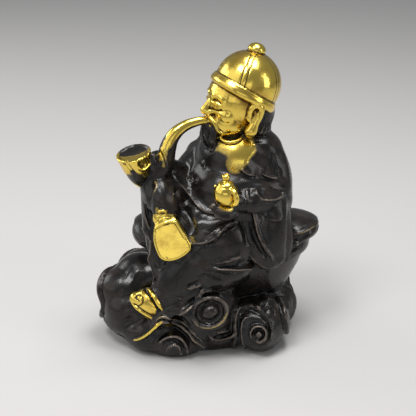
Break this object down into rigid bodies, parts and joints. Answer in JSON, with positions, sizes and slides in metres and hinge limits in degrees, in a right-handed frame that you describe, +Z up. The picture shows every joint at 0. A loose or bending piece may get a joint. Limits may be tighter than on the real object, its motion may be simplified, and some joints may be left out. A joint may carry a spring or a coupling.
{
  "type": "tudigong figure",
  "caption": "Cast brass table figure of a seated earth god in a round cap, with a curved pipe and a teapot, on a boat-shaped ingot over a cloud base.",
  "frame": {"origin": "middle of the underside, at the centre of the figure's outline seen from above", "axes": "+Z up, -Y towards the front of the base, +X along the ingot towards the figure's left hand"},
  "size_m": [0.1106, 0.0758, 0.1462],
  "materials": {
    "patinated_brass": "dark brown patina, polished to gold on the cap, face, pipe, teapot and shoes"
  },
  "bodies": {
    "root": {"tudigong_figure": "patinated_brass"}
  },
  "joints": []
}
